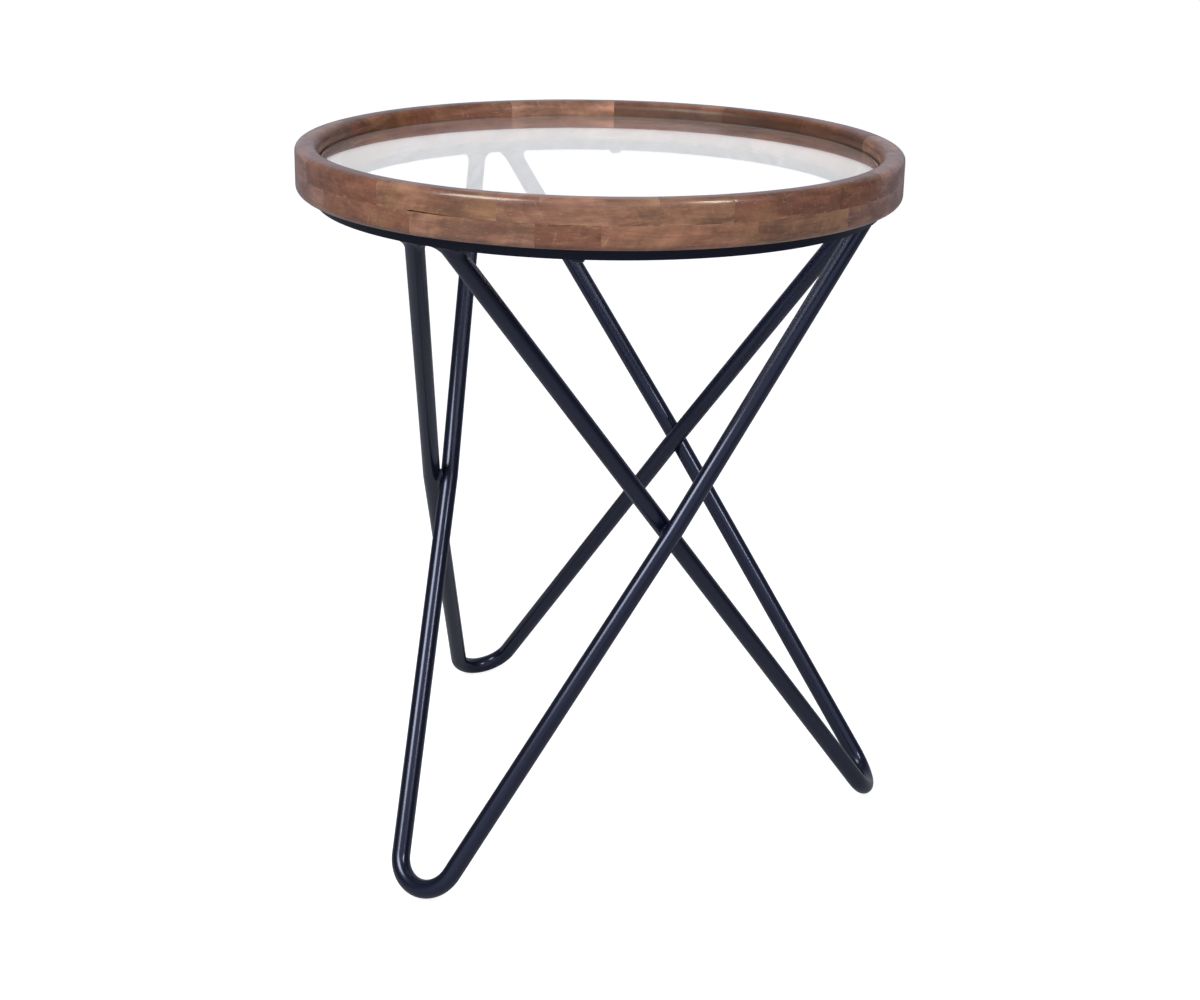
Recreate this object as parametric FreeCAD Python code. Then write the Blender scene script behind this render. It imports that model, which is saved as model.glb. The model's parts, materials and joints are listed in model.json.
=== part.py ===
import FreeCAD, Part
import math
import os
from FreeCAD import Vector

os.makedirs("parts", exist_ok=True)

# Round side table. Millimetres, +Z up, +X through the right foot.
# The origin is on the floor under the middle of the top.

# Wooden rim: two layers of short blocks glued like bricks
table_height = 577.0
rim_radius = 247.5
layer_height = 18.85
rim_width = 19.0
ledge_width = 18.5
edge_round = 5.5
inner_round = 8.0
ledge_arris = 1.5
# Length of each block in degrees round the rim, and where the first block of the layer starts
upper_blocks = (13, 23, 14, 24, 20, 25, 22, 26, 24, 21, 27, 22, 23, 25, 24, 27)
upper_first_angle = 283.0
lower_blocks = (23, 11, 27, 21, 26, 18, 25, 22, 27, 19, 24, 26, 20, 25, 22, 24)
lower_first_angle = 239.5

# Glass disc laid on the ledge of the lower layer
glass_thickness = 6.0
glass_side_gap = 1.0
glass_arris = 0.8

# Flat steel hoop under the rim, wide enough for the slanting ends of the arms
hoop_height = 9.3
hoop_inset = 26.0
hoop_margin = 0.6

# Three bent rods, each one leg with two arms
leg_count = 3
rod_diameter = 15.0
foot_bend = 27.5
foot_reach = 1.4
# Where two arms cross: share of the way up to the hoop, and of the way out to the feet
crossing_level = 0.535
crossing_spread = 0.535
crossing_gap = 0.2
kink_bend = 80.0
# How far round the table each arm runs from its foot to the hoop, in degrees
outer_arm_angle = 115.1
inner_arm_angle = 116.5

# Welds
weld_radius = 4.5
weld_reach = 30.0
crossing_weld_radius = 6.0

# Pan head screws driven up through the hoop
screw_count = 4
screw_shank = 4.0
screw_bite = 14.0
screw_head = 8.4
screw_head_height = 2.8
screw_head_round = 1.7
screw_hole_gap = 0.3

rod_radius = rod_diameter / 2
rim_top = table_height
glass_seat = rim_top - layer_height
rim_bottom = glass_seat - layer_height
hoop_bottom = rim_bottom - hoop_height
hoop_radius = rim_radius - hoop_inset
# The feet stand a little further out than the rim
foot_radius = rim_radius + foot_reach
crossing_height = crossing_level * hoop_bottom
crossing_radius = crossing_spread * foot_radius
screw_length = hoop_height + screw_bite
opening_radius = rim_radius - rim_width
ledge_radius = opening_radius - ledge_width
leg_step = 360.0 / leg_count
# The first screw stands half way between two arms, where they meet the hoop
screw_first_angle = (outer_arm_angle - inner_arm_angle) / 2

up = Vector(0, 0, 1)
tiny = 1e-6
centre = Vector(0, 0, 0)


def polar(radius, degrees, z):
    """Point at a radius and an angle about the middle axis, at height z."""
    a = math.radians(degrees)
    return Vector(radius * math.cos(a), radius * math.sin(a), z)


def turned(shape, degrees):
    """Copy of a shape turned about the middle axis."""
    copy = shape.copy()
    copy.rotate(centre, up, degrees)
    return copy


def line(a, b):
    """Straight edge between two points."""
    return Part.LineSegment(a, b).toShape()


def quarter(middle, radius, start, end):
    """Round edge in the XZ plane about a point (r, z), from one angle in degrees to another."""
    at = []
    for degrees in (start, (start + end) / 2, end):
        a = math.radians(degrees)
        at.append(Vector(middle[0] + radius * math.cos(a), 0, middle[1] + radius * math.sin(a)))
    return Part.Arc(at[0], at[1], at[2]).toShape()


def upper_section():
    """Section of the upper layer: rounded over at its top, widely on the inside and less on the outside."""
    r, wide = edge_round, inner_round
    inner, outer = opening_radius, rim_radius
    edges = [
        line(Vector(inner, 0, glass_seat), Vector(inner, 0, rim_top - wide)),
        quarter((inner + wide, rim_top - wide), wide, 180, 90),
        line(Vector(inner + wide, 0, rim_top), Vector(outer - r, 0, rim_top)),
        quarter((outer - r, rim_top - r), r, 90, 0),
        line(Vector(outer, 0, rim_top - r), Vector(outer, 0, glass_seat)),
        line(Vector(outer, 0, glass_seat), Vector(inner, 0, glass_seat)),
    ]
    return Part.Face(Part.Wire(edges))


def lower_section():
    """Section of the lower layer: wider, so that it carries the glass, and rounded under its outside."""
    r = edge_round
    inner, outer = ledge_radius, rim_radius
    edges = [
        line(Vector(inner, 0, rim_bottom + ledge_arris), Vector(inner, 0, glass_seat)),
        line(Vector(inner, 0, glass_seat), Vector(outer, 0, glass_seat)),
        line(Vector(outer, 0, glass_seat), Vector(outer, 0, rim_bottom + r)),
        quarter((outer - r, rim_bottom + r), r, 0, -90),
        line(Vector(outer - r, 0, rim_bottom), Vector(inner + ledge_arris, 0, rim_bottom)),
        quarter((inner + ledge_arris, rim_bottom + ledge_arris), ledge_arris, 270, 180),
    ]
    return Part.Face(Part.Wire(edges))


def layer(section, lengths, start):
    """Blocks of one layer, each the section swept through its own angle from the end of the one before."""
    blocks = []
    at = start
    for degrees in lengths:
        blocks.append(turned(section.revolve(centre, up, degrees), at))
        at += degrees
    return blocks


def touch_point(middle, radius, normal, point, side):
    """Where a line from a point touches a circle lying in the plane with this normal."""
    toward = point - middle
    ratio = radius / toward.Length
    toward.normalize()
    across = normal.cross(toward) * side
    return middle + (toward * ratio + across * math.sqrt(1 - ratio * ratio)) * radius


def bend(before, corner, after, radius):
    """Round edge that takes the place of a corner between two straight stretches, with its two ends."""
    back = (before - corner).normalize()
    ahead = (after - corner).normalize()
    half = back.getAngle(ahead) / 2
    reach = radius / math.tan(half)
    middle = (back + ahead).normalize()
    crown = corner + middle * (radius / math.sin(half) - radius)
    start = corner + back * reach
    end = corner + ahead * reach
    return start, Part.Arc(start, crown, end).toShape(), end


# Arms of the leg whose foot points along +X: the outer arm turns one way round the table,
# the inner arm the other
half_pitch = (rod_diameter + crossing_gap) / 2
outer_kink = polar(crossing_radius + half_pitch, leg_step / 2, crossing_height)
inner_kink = polar(crossing_radius - half_pitch, -leg_step / 2, crossing_height)
outer_top = polar(hoop_radius, outer_arm_angle, hoop_bottom)
inner_top = polar(hoop_radius, -inner_arm_angle, hoop_bottom)
arms = ((outer_top, outer_kink), (inner_top, inner_kink))
arm_slopes = [abs((top - kink).normalize().z) for top, kink in arms]
hoop_width = 2 * (rod_radius / min(arm_slopes) + hoop_margin)
hoop_inner = hoop_radius - hoop_width / 2
hoop_outer = hoop_radius + hoop_width / 2


def leg_path():
    """Middle line of the leg along +X: arm, kink, arm, bend at the foot, and the same up the other side."""
    foot = Vector(foot_radius, 0, rod_radius)
    normal = (outer_kink - foot).cross(inner_kink - foot).normalize()
    uphill = (up - normal * normal.z).normalize()
    middle = foot + uphill * foot_bend
    outer_touch = touch_point(middle, foot_bend, normal, outer_kink, -1)
    inner_touch = touch_point(middle, foot_bend, normal, inner_kink, 1)
    # Both arms run on past the hoop's underside, where they are cut flush
    outer_end = outer_top + (outer_top - outer_kink).normalize() * rod_diameter
    inner_end = inner_top + (inner_top - inner_kink).normalize() * rod_diameter
    a_start, a_arc, a_end = bend(outer_end, outer_kink, outer_touch, kink_bend)
    b_start, b_arc, b_end = bend(inner_touch, inner_kink, inner_end, kink_bend)
    edges = [
        line(outer_end, a_start),
        a_arc,
        line(a_end, outer_touch),
        Part.Arc(outer_touch, foot, inner_touch).toShape(),
        line(inner_touch, b_start),
        b_arc,
        line(b_end, inner_end),
    ]
    return Part.Wire(edges)


def rod_along(path):
    """Round rod along a line of straight and round edges, each stretch a cylinder or part of a ring."""
    stretches = []
    for edge in path.OrderedEdges:
        start = edge.valueAt(edge.FirstParameter)
        ahead = edge.tangentAt(edge.FirstParameter)
        disc = Part.Face(Part.Wire(Part.makeCircle(rod_radius, start, ahead)))
        if isinstance(edge.Curve, Part.Circle):
            sweep = math.degrees(edge.LastParameter - edge.FirstParameter)
            stretches.append(disc.revolve(edge.Curve.Center, edge.Curve.Axis, sweep))
        else:
            stretches.append(disc.extrude(ahead * edge.Length))
    return stretches[0].multiFuse(stretches[1:]).removeSplitter()


def leg_along_x():
    """Leg cut flush with the underside of the hoop."""
    above = Part.makeBox(4 * rim_radius, 4 * rim_radius, table_height)
    above.translate(Vector(-2 * rim_radius, -2 * rim_radius, hoop_bottom))
    return rod_along(leg_path()).cut(above).Solids[0]


def arm_weld(top, kink):
    """Weld round the end of an arm: the hollow that a ball leaves when it rolls between rod and hoop."""
    down = (kink - top).normalize()
    slant = weld_reach / abs(down.z)
    plate = Part.makeBox(2 * weld_reach, 2 * weld_reach, hoop_height)
    plate.translate(top - Vector(weld_reach, weld_reach, 0))
    arm = Part.makeCylinder(rod_radius, slant + rod_diameter / 2, top - down * (rod_diameter / 2), down)
    joined = plate.fuse(arm).removeSplitter()
    seam = [e for e in joined.Edges if isinstance(e.Curve, Part.Ellipse) and e.BoundBox.ZLength < tiny]
    seam = [e for e in seam if abs(e.CenterOfMass.z - hoop_bottom) < tiny]
    weld = joined.makeFillet(weld_radius, seam).cut(plate).cut(arm)
    tube = Part.makeCylinder(hoop_outer, hoop_bottom)
    tube = tube.cut(Part.makeCylinder(hoop_inner, hoop_bottom))
    return max(weld.common(tube).Solids, key=lambda solid: solid.Volume)


def screw():
    """Pan head screw at the hoop's middle radius, head below the hoop and shank up into the wood."""
    at = Vector(hoop_radius, 0, hoop_bottom)
    shank = Part.makeCylinder(screw_shank / 2, screw_length, at)
    head = Part.makeCylinder(screw_head / 2, screw_head_height, at - up * screw_head_height)
    round_over = [e for e in head.Edges if abs(e.BoundBox.ZMax - (hoop_bottom - screw_head_height)) < tiny]
    head = head.makeFillet(screw_head_round, round_over[:1])
    return head.fuse(shank).removeSplitter()


def around(shape, count, first):
    """Copies of a shape spaced evenly round the table."""
    return [turned(shape, first + i * 360.0 / count) for i in range(count)]


# Rim blocks
upper_rim = layer(upper_section(), upper_blocks, upper_first_angle)
lower_rim = layer(lower_section(), lower_blocks, lower_first_angle)

# Glass
glass_radius = opening_radius - glass_side_gap
glass = Part.makeCylinder(glass_radius, glass_thickness, Vector(0, 0, glass_seat))
glass = glass.makeChamfer(glass_arris, [e for e in glass.Edges if e.Closed and e.BoundBox.ZLength < tiny])

# Hoop with a clearance hole for each screw
screws = around(screw(), screw_count, screw_first_angle)
hoop = Part.makeCylinder(hoop_outer, hoop_height, Vector(0, 0, hoop_bottom))
hoop = hoop.cut(Part.makeCylinder(hoop_inner, hoop_height, Vector(0, 0, hoop_bottom)))
hole = Part.makeCylinder(screw_shank / 2 + screw_hole_gap, hoop_height, Vector(hoop_radius, 0, hoop_bottom))
for cutter in around(hole, screw_count, screw_first_angle):
    hoop = hoop.cut(cutter)

# Screw holes in the lower blocks fit the shanks
for i, block in enumerate(lower_rim):
    for s in screws:
        if block.BoundBox.intersect(s.BoundBox):
            block = block.cut(s)
    lower_rim[i] = block.Solids[0]

# Legs
leg_names = ("leg_right", "leg_back_left", "leg_front_left")
legs = around(leg_along_x(), leg_count, 0)

# Welds at the tops of the arms, trimmed to the width of the hoop, and at the three crossings
collars = []
for top, kink in arms:
    collars += around(arm_weld(top, kink), leg_count, 0)
blob = Part.makeSphere(crossing_weld_radius, polar(crossing_radius, leg_step / 2, crossing_height))
blobs = around(blob.cut(legs[0]).cut(legs[1]).Solids[0], leg_count, 0)

# One file for each node
nodes = {"glass_top": glass, "top_hoop": hoop.Solids[0]}
for i, block in enumerate(upper_rim):
    nodes["rim_upper_%02d" % (i + 1)] = block
for i, block in enumerate(lower_rim):
    nodes["rim_lower_%02d" % (i + 1)] = block
for name, leg in zip(leg_names, legs):
    nodes[name] = leg
nodes["hoop_welds"] = Part.makeCompound(collars)
nodes["crossing_welds"] = Part.makeCompound(blobs)
nodes["rim_screws"] = Part.makeCompound(screws)
for name, shape in nodes.items():
    shape.exportStep("parts/%s.step" % name)
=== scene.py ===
# %% [markdown]
# # A round side table: glued hardwood rim, glass disc, crossing rod legs
#
# This lesson dresses a measured model of a side table. The construction is already there: every block, rod
# and weld comes in as a fixed frame, in metres, with +Z up and the floor at zero. What is left to do is
# what the eye sees: surfaces, finishes, light and a camera.

import json
import bpy
import numpy as np
from mathutils import Matrix, Vector


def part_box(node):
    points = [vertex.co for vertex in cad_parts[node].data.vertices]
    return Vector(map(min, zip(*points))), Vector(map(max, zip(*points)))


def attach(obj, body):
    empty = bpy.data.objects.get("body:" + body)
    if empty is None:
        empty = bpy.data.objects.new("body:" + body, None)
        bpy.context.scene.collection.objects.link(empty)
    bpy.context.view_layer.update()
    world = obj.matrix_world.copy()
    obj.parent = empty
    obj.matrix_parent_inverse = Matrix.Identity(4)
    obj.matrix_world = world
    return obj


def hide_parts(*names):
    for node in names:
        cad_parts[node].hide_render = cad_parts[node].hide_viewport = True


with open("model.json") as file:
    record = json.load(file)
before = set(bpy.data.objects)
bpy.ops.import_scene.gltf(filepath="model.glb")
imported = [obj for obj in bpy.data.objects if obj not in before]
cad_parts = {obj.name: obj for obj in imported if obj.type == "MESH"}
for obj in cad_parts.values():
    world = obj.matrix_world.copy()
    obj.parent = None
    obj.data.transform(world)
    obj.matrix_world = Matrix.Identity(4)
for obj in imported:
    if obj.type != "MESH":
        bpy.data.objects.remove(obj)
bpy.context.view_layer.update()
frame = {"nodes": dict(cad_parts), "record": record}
nodes = frame["nodes"]
slot_of = {part["node"]: part["material_slot"] for part in frame["record"]["subparts"]}
mm = 0.001

# %% [markdown]
# ## Colours and shader nodes
#
# Colours are written the way a paint shop writes them, as sRGB hex values. Cycles works with linear light,
# so one function turns the first into the second.
#
# A shader is a tree of nodes. One function adds any node: its settings, and its inputs, which are values,
# hex colours or the outputs of nodes that are already there.

# %% Colours and nodes
def linear(colour):
    """Linear RGB of an sRGB hex colour: c / 12.92 near black, else ((c + 0.055) / 1.055) ** 2.4."""
    c = np.array([int(colour[i:i + 2], 16) for i in (1, 3, 5)]) / 255
    return np.where(c <= 0.04045, c / 12.92, ((c + 0.055) / 1.055) ** 2.4)


def add_node(tree, kind, inputs=None, **settings):
    """Adds a shader node of any kind. An input is a value, a hex colour or an output socket to link from."""
    node = tree.nodes.new("ShaderNode" + kind)
    for name, value in settings.items():
        setattr(node, name, value)
    for name, value in (inputs or {}).items():
        if isinstance(value, bpy.types.NodeSocket):
            tree.links.new(value, node.inputs[name])
        elif isinstance(value, str):
            node.inputs[name].default_value = (*linear(value), 1)
        else:
            node.inputs[name].default_value = value
    return node


print("half grey #808080 is linear", linear("#808080").round(3))

# %% [markdown]
# ## Meshes from grids of points
#
# A surface here is always a grid of points worked out in numpy, and each row of the grid is a closed ring.
# One function joins every point to its neighbours with four-sided faces, and two more close the ends: with
# one flat face, or with a fan of triangles about a point. Another makes the object, which rides on one of
# the frame's bodies.
#
# What a finish needs to know about a point beyond its place, such as how far it lies from a glue line, is
# written on the points as marks.

# %% Meshes
def grid_faces(rows, columns, loop=False):
    """Corner numbers of the quads of a grid of points stored row by row. Each row is a closed ring, so its
    last point is joined to its first. In a loop the last row is joined to the first row too."""
    row, column = np.mgrid[0:rows if loop else rows - 1, 0:columns]
    below, beside = (row + 1) % rows, (column + 1) % columns
    quads = [row * columns + column, below * columns + column,
             below * columns + beside, row * columns + beside]
    return np.stack(quads, -1).reshape(-1, 4).tolist()


def tube_faces(rows, columns):
    """Faces of a grid of rings, with one flat face across each end."""
    last = (rows - 1) * columns
    ends = [list(range(columns)), list(range(last + columns - 1, last - 1, -1))]
    return grid_faces(rows, columns) + ends


def capped_faces(rows, columns):
    """Faces of a grid of rings from the top down. A fan closes each end, about two more points that follow
    the grid: first the top one, then the bottom one."""
    ring = np.arange(columns)
    last = (rows - 1) * columns + ring
    top = np.full(columns, rows * columns)
    faces = grid_faces(rows, columns)
    faces += np.stack([top, ring, np.roll(ring, -1)], 1).tolist()
    faces += np.stack([top + 1, np.roll(last, -1), last], 1).tolist()
    return faces


def add_piece(name, points, faces, body, sharp_from=35):
    """Makes a mesh object at the origin that rides on a body, smooth but for edges sharper than an angle."""
    mesh = bpy.data.meshes.new(name)
    mesh.from_pydata(points.reshape(-1, 3).tolist(), [], faces)
    mesh.shade_smooth()
    mesh.set_sharp_from_angle(angle=np.radians(sharp_from))
    piece = bpy.data.objects.new(name, mesh)
    bpy.context.scene.collection.objects.link(piece)
    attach(piece, body)
    return piece


def mark(piece, label, values, kind="FLOAT", field="value"):
    """Writes one value, or one arrow, for each point of a piece, for its finish to read."""
    attribute = piece.data.attributes.new(label, kind, "POINT")
    attribute.data.foreach_set(field, values.astype(np.float32).ravel())


def corners_of(name):
    """All points of a frame node's mesh as an array of rows (x, y, z)."""
    vertices = nodes[name].data.vertices
    flat = np.empty(len(vertices) * 3, np.float32)
    vertices.foreach_get("co", flat)
    return flat.reshape(-1, 3).astype(float)


print("frame: %d points in all" % sum(len(corners_of(name)) for name in nodes))

# %% [markdown]
# ## Reading the rim
#
# The rim is two layers of short hardwood blocks, glued like bricks and then turned round on a lathe.
# Nothing about it is typed in again here: each block's first and last angle, the radii, the heights and the
# size of the round edges are read off the points of the frame's own blocks.

# %% Sizes of the rim
def block_reach(name):
    """Radii, heights, and first and last angle of a rim block, the angles counted about its own middle."""
    xyz = corners_of(name)
    radius = np.hypot(xyz[:, 0], xyz[:, 1])
    middle = np.arctan2(xyz[:, 1].mean(), xyz[:, 0].mean())
    turn = (np.arctan2(xyz[:, 1], xyz[:, 0]) - middle + np.pi) % (2 * np.pi) - np.pi
    return {"inner": radius.min(), "outer": radius.max(), "low": xyz[:, 2].min(), "high": xyz[:, 2].max(),
            "start": middle + turn.min(), "end": middle + turn.max()}


upper_names = sorted(n for n in nodes if n.startswith("rim_upper"))
lower_names = sorted(n for n in nodes if n.startswith("rim_lower"))
blocks = {name: block_reach(name) for name in upper_names + lower_names}
rim_radius = max(b["outer"] for b in blocks.values())
opening_radius = min(blocks[n]["inner"] for n in upper_names)
ledge_radius = min(blocks[n]["inner"] for n in lower_names)
rim_top = blocks[upper_names[0]]["high"]
seat = blocks[upper_names[0]]["low"]
rim_bottom = blocks[lower_names[0]]["low"]

touching = 0.01 * mm
corners = corners_of(upper_names[0])
radius = np.hypot(corners[:, 0], corners[:, 1])
edge_round = rim_top - corners[radius > rim_radius - touching, 2].max()
inner_round = rim_top - corners[radius < opening_radius + touching, 2].max()
print("rim: radius %.1f mm, from %.1f to %.1f mm high, layers meet at %.1f mm" % (
    rim_radius / mm, rim_bottom / mm, rim_top / mm, seat / mm))
print("rim: rounded %.1f mm outside and %.1f mm inside" % (edge_round / mm, inner_round / mm))

# %% [markdown]
# ## The section of each layer
#
# A block is a section carried round part of a circle. The section is drawn in the plane of radius and
# height. It starts at the bottom of the outside, climbs, goes over the top and comes down inside, so that
# the faces of the finished block point outwards.
#
# Where two layers meet there is a glue line. It isn't drawn as a stripe: the corners on both sides of it
# are eased back a little, more in some places than in others. So every point of a section has a second
# arrow, its pull, that says which way it gives when the glue line opens.

# %% Sections
def arc(centre, radius, first, last, steps=9):
    """Points on a circle about (r, z), from one angle in degrees to another."""
    a = np.radians(np.linspace(first, last, steps))
    return np.stack([centre[0] + radius * np.cos(a), centre[1] + radius * np.sin(a)], 1)


def section(parts):
    """Joins stretches of a section. Each part is (points, pulls); with pulls of None the points stay."""
    points = [np.atleast_2d(stretch) for stretch, _ in parts]
    pulls = [np.zeros_like(p) if g is None else g for p, (_, g) in zip(points, parts)]
    return np.concatenate(points), np.concatenate(pulls)


def eased(r, z, pulls):
    """A sharp corner as three points in one place, which part when the corner is eased by its pulls."""
    return np.tile([r, z], (3, 1)), pulls


soft_edge = 0.6 * mm
# How far the three points of a corner move, in radius and height, for each unit that the glue line opens.
lips = np.array([(-3.0, 0.0), (-0.8, 0.45), (0.0, 1.0)])
half_way = (rim_radius - edge_round + opening_radius + inner_round) / 2
upper_section = section([
    eased(rim_radius, seat, lips),
    (arc((rim_radius - edge_round, rim_top - edge_round), edge_round, 0, 90), None),
    ((half_way, rim_top), None),
    (arc((opening_radius + inner_round, rim_top - inner_round), inner_round, 90, 180, steps=13), None),
    (arc((opening_radius + soft_edge, seat + soft_edge), soft_edge, 180, 270, steps=4), None),
])
lower_section = section([
    (arc((ledge_radius + 2 * soft_edge, rim_bottom + 2 * soft_edge), 2 * soft_edge, 180, 270, steps=5), None),
    (arc((rim_radius - edge_round, rim_bottom + edge_round), edge_round, -90, 0), None),
    eased(rim_radius, seat, lips[::-1] * [1, -1]),
    (arc((ledge_radius + soft_edge, seat - soft_edge), soft_edge, 90, 180, steps=4), None),
])
print("sections:", len(upper_section[0]), "and", len(lower_section[0]), "points")

# %% [markdown]
# ## Traces of hand work
#
# The outside of the rim was sanded by hand, so it is out of round by some hundredths of a millimetre, in
# long waves that run on from block to block. The glue line between the layers swells and fades, and at the
# front left it stands open for about four centimetres.
#
# All chance in this lesson comes from one seeded source, so that every run gives the same table.

# %% Sanding and glue line
sanding = 0.07 * mm
sanding_drift = 60 * mm
hairline = 0.02 * mm
hairline_swell = 0.9
crack_width = 1.1 * mm
crack_length = 38 * mm
crack_start = np.radians(239.3)
chance = np.random.default_rng(41)
sand_phase, glue_phase = chance.uniform(0, 2 * np.pi, (3, 4))[:2]


def sanding_wave(angle, height):
    """Mean of four sines round the rim, with 7 to 31 waves each, whose phases also drift with height."""
    waves = np.array([7, 13, 19, 31])
    rise = 2 * np.pi * height[..., None] / sanding_drift
    return np.sin(angle[..., None] * waves + rise + sand_phase).mean(-1)


def crack(angle):
    """How far the one crack gapes: sqrt(1 - run), where run goes from 0 to 1 along its length, else 0."""
    run = ((angle - crack_start + np.pi) % (2 * np.pi) - np.pi) * rim_radius / crack_length
    return np.sqrt(np.where((run > 0) & (run < 1), 1 - run, 0))


def glue_opening(angle):
    """Opening of the glue line: a hairline times slow waves that never close it, plus the crack."""
    waves = np.sin(np.outer(angle, [5, 11, 23, 47]) + glue_phase).mean(1)
    return hairline * (1 + hairline_swell * waves) + crack_width * crack(angle)


once_round = glue_opening(np.linspace(0, 2 * np.pi, 3600))
print("glue line: opens %.3f mm to %.2f mm" % (once_round.min() / mm, once_round.max() / mm))

# %% [markdown]
# ## Blocks of wood
#
# Each block is its section swept from its first angle to its last, with its two ends eased by a hair.
#
# The grain of a block is straight, because the block was sawn from a straight board, and only its outline
# is curved. So every point also carries its place in that board: across, along and up. The wood finish
# reads it. Each board starts somewhere else in the tree, and is turned a little.
#
# On the inside of the rim the wood is darker, on some blocks more than on others: partly stain that the
# blocks took up unevenly, partly painted shade of the recess under the rim's edge and of the ledge under the
# glass. So a point also carries how far inside it lies and how dark it is made there.

# %% Rim blocks
step = np.radians(0.6)
joint_depth = 0.04 * mm
joint_reach = 0.35 * mm
board_lean = np.radians(2.5)
board_shift = 0.4
# Darkening of the rim's inside, the same for most blocks and given by name for some: partly stain, partly
# painted shade.
usual_stain_and_shade = 0.30
stain_and_shade_inside = {"rim_upper_06": 0.70, "rim_upper_07": 0.85, "rim_upper_08": 0.78,
                "rim_upper_09": 0.0, "rim_upper_10": 0.0, "rim_upper_11": 0.0}
darkening_span, darkening_delay = 0.6, 0.67


def outward(points):
    """Unit arrows square to a closed section, from the points before and after each point."""
    along = np.roll(points, -1, 0) - np.roll(points, 1, 0)
    along /= np.linalg.norm(along, axis=1, keepdims=True)
    return np.stack([along[:, 1], -along[:, 0]], 1)


def board_place(xyz, middle):
    """Places in the board that a block was sawn from: turned back by the block's middle angle, leaned by two
    small chance angles, perhaps mirrored, and moved to somewhere in the tree."""
    slope, dip = chance.normal(0, board_lean, 2)
    place = xyz @ np.array(Matrix.Rotation(middle, 3, "Z")) @ np.array(Matrix.Rotation(slope, 3, "Z"))
    place = place @ np.array(Matrix.Rotation(dip, 3, "X"))
    return place * chance.choice([-1, 1], 3) + chance.uniform(-board_shift, board_shift, 3)


def rim_block(name, shape):
    """A section carried from a block's first angle to its last. A point's radius and height are the
    section's, plus its pull times the glue line's opening, less sanding and eased ends along its arrow."""
    points, pulls = shape
    start, end = blocks[name]["start"], blocks[name]["end"]
    near_end = joint_reach / rim_radius
    count = int(np.ceil((end - start) / step)) + 1
    angles = np.concatenate([[start], np.linspace(start + near_end, end - near_end, count), [end]])
    ends = np.zeros(len(angles))
    ends[[0, -1]] = joint_depth
    level = np.broadcast_to(points[:, 1], (len(angles), len(points)))
    give = sanding * (1 - sanding_wave(angles[:, None] + 0 * level, level)) / 2 + ends[:, None]
    arrows = outward(points + hairline * pulls)
    flat = points + glue_opening(angles)[:, None, None] * pulls - give[..., None] * arrows
    radius, height = flat[..., 0], flat[..., 1]
    xyz = np.stack([radius * np.cos(angles)[:, None], radius * np.sin(angles)[:, None], height], -1)
    piece = add_piece(name + ".wood", xyz, tube_faces(*radius.shape), "frame")
    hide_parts(name)

    inside = np.clip((opening_radius - radius) / inner_round + 1, 0, 1)
    # Partly stain, partly painted shade: the inside grows darker from part way into the inner round.
    stain_and_shade = stain_and_shade_inside.get(name, usual_stain_and_shade) * np.clip(inside / darkening_span - darkening_delay, 0, 1)
    mark(piece, "board", board_place(xyz, (start + end) / 2), "FLOAT_VECTOR", "vector")
    mark(piece, "to_seam", np.abs(height - seat))
    mark(piece, "cracked", np.repeat(crack(angles), len(points)))
    mark(piece, "inside", inside)
    mark(piece, "stain_and_shade", stain_and_shade)
    return piece


wood_pieces = {name: rim_block(name, upper_section) for name in upper_names}
wood_pieces.update({name: rim_block(name, lower_section) for name in lower_names})
print("rim:", len(wood_pieces), "blocks,", sum(len(p.data.polygons) for p in wood_pieces.values()), "faces")

# %% [markdown]
# ## The glass disc
#
# The disc is a turned shape: a line from the middle of its top out to the rim, round two small polished
# edges, and back to the middle of its underside. Turning that line once about the axis gives the whole
# surface, and a fan closes each middle.

# %% Glass
flat_count, turn_count = 11, 240
edge_share = 0.7
low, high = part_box("glass_top")
glass_radius = high.x
corners = corners_of("glass_top")
side = np.hypot(corners[:, 0], corners[:, 1]) > glass_radius - touching
arris = high.z - corners[side, 2].max()
flat_rings = np.linspace(0, glass_radius - 2 * arris, flat_count + 1)[1:]
profile = np.concatenate([
    np.stack([flat_rings, 0 * flat_rings + high.z], 1),
    arc((glass_radius - arris, high.z - arris), arris, 90, 0, steps=6),
    arc((glass_radius - arris, low.z + arris), arris, 0, -90, steps=6),
    np.stack([flat_rings[::-1], 0 * flat_rings + low.z], 1),
])
turns = np.linspace(0, 2 * np.pi, turn_count, endpoint=False)
rings = profile[:, 0, None, None] * np.stack([np.cos(turns), np.sin(turns), 0 * turns], 1)
rings[..., 2] = profile[:, 1, None]
points = np.concatenate([rings.reshape(-1, 3), [[0, 0, high.z], [0, 0, low.z]]])
faces = capped_faces(*rings.shape[:2])
glass = add_piece("glass_top.disc", points, faces, "glass", sharp_from=60)
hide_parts("glass_top")
from_axis = np.hypot(points[:, 0], points[:, 1])
mark(glass, "edge", from_axis > glass_radius - edge_share * arris)
mark(glass, "to_rim", glass_radius - from_axis)
print("glass: %.0f mm across, %.1f mm thick, edges rounded %.1f mm" % (
    2 * glass_radius / mm, (high.z - low.z) / mm, arris / mm))

# %% [markdown]
# ## The legs
#
# Each leg is one round rod with two arms, a bend at the foot, and a slight kink in each arm where it passes
# its neighbour. The frame holds these rods too, but as long thin triangles, in which a highlight looks
# torn. So each rod is drawn again, as a circle carried along its middle line.
#
# The line's points are read off the frame: the foot is what reaches out furthest, the arms end flush under
# the hoop, and at each crossing one arm passes outside the other, half a rod's thickness to either side of
# the weld between them. Only the two bending radii and the gap at the crossing are typed in.

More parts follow.
